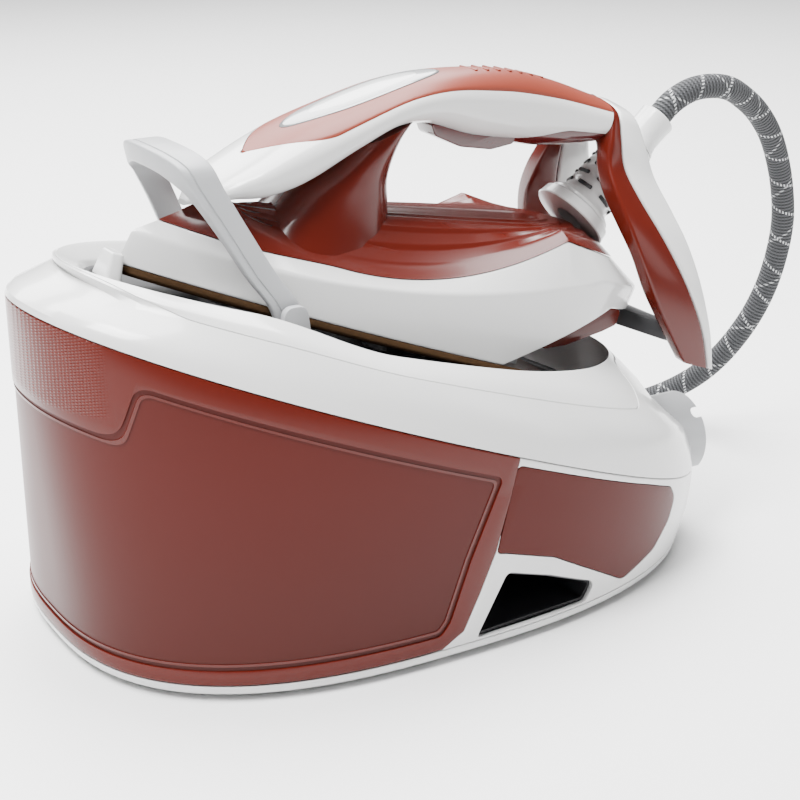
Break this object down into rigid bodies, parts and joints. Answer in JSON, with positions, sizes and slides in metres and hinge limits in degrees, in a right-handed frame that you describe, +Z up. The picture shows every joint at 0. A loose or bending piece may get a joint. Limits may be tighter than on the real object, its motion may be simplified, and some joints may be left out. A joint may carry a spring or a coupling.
{
  "type": "steam generator iron",
  "caption": "Steam generator iron on its base: sloped oval housing with a slide-out front water tank, a rest with a lock arch, and a loop-handled iron on a braided steam hose.",
  "frame": {"origin": "on the floor under the middle of the object's box, without its hose", "axes": "+X from the tank end to the hose end, +Y to the side of the control panel, +Z up"},
  "size_m": [0.4759, 0.4085, 0.2511],
  "materials": {
    "white_gloss": "moulded, glossy",
    "copper_red": "moulded, satin metallic red",
    "salmon": "moulded, satin light red",
    "clear_red": "translucent",
    "light_grey": "satin",
    "dark_grey": "fine texture",
    "silicone": "moulded",
    "lens_grey": "polished",
    "steel": "drawn",
    "cast_alloy": "die cast",
    "brass": "machined",
    "board_green": "lacquered",
    "hose_braid": "braided cover",
    "amber": "clear",
    "green": "moulded"
  },
  "bodies": {
    "root": {"bottom_pan": "white_gloss", "frame_left": "white_gloss", "frame_right": "white_gloss", "side_panel_left": "copper_red", "side_panel_right": "copper_red", "cord_tunnel": "dark_grey", "deck_cover": "white_gloss", "rest_tray": "dark_grey", "rest_pads": "silicone", "nose_stop": "light_grey", "lock_pins": "steel", "boiler": "steel", "boiler_heater": "brass", "boiler_thermostat": "steel", "steam_valve": "steel", "pump": "light_grey", "pump_mounts": "dark_grey", "water_tube": "silicone", "steam_pipe": "brass", "control_board": "board_green", "tank_socket": "dark_grey", "socket_seal": "silicone", "hose_gland": "dark_grey", "power_gland": "dark_grey", "control_panel": "dark_grey", "panel_lights": "amber", "feet": "silicone", "base_screws": "steel", "hose_floor": "hose_braid", "hose_coil": "hose_braid", "hose_tail": "hose_braid"},
    "water_tank": {"tank_shell": "clear_red", "tank_lid": "clear_red", "tank_frame": "copper_red", "tank_grip": "copper_red", "tank_valve": "dark_grey"},
    "iron": {"soleplate": "steel", "sole_heater": "cast_alloy", "skirt": "white_gloss", "body_top": "copper_red", "front_column": "copper_red", "heel_base": "copper_red", "rear_cover": "white_gloss", "handle_shell": "white_gloss", "grip_inlay": "salmon", "top_lens": "lens_grey", "heel_arch": "copper_red", "heel_strut": "dark_grey", "hose_sleeve": "white_gloss", "hose_collar": "white_gloss", "microswitch": "dark_grey", "iron_thermostat": "steel", "trigger_pin": "steel", "iron_screws": "steel", "hose_run": "hose_braid"},
    "steam_trigger": {"steam_trigger": "dark_grey"},
    "lock_arch": {"lock_arch": "light_grey"},
    "scale_cap": {"scale_cap": "light_grey"},
    "power_button": {"power_button": "white_gloss"},
    "eco_button": {"eco_button": "green"}
  },
  "joints": [
    {"name": "tank_slide", "type": "slide", "parent": "root", "child": "water_tank", "axis": [-1, 0, 0], "range_m": [0, 0.15]},
    {"name": "iron_lift", "type": "slide", "parent": "root", "child": "iron", "axis": [0.7071, 0, 0.7071], "range_m": [0, 0.15]},
    {"name": "lock_hinge", "type": "hinge", "parent": "root", "child": "lock_arch", "pos_m": [-0.07044, 0, 0.158], "axis": [0, -1, 0], "range_deg": [0, 25]},
    {"name": "trigger_hinge", "type": "hinge", "parent": "iron", "child": "steam_trigger", "pos_m": [0.07493, 0, 0.21889], "axis": [0, 1, 0], "range_deg": [0, 5], "stiffness_Nm_per_rad": 0.5, "springref_deg": -5.73},
    {"name": "cap_turn", "type": "hinge", "parent": "root", "child": "scale_cap", "pos_m": [0.17056, -0.038, 0.05], "axis": [1, 0, 0], "range_deg": [0, 90]},
    {"name": "power_press", "type": "slide", "parent": "root", "child": "power_button", "axis": [-0.284, -0.3592, -0.889], "range_m": [0, 0.0012], "stiffness_N_per_m": 600, "springref_m": -0.001},
    {"name": "eco_press", "type": "slide", "parent": "root", "child": "eco_button", "axis": [-0.284, -0.3592, -0.889], "range_m": [0, 0.0012], "stiffness_N_per_m": 600, "springref_m": -0.001}
  ]
}
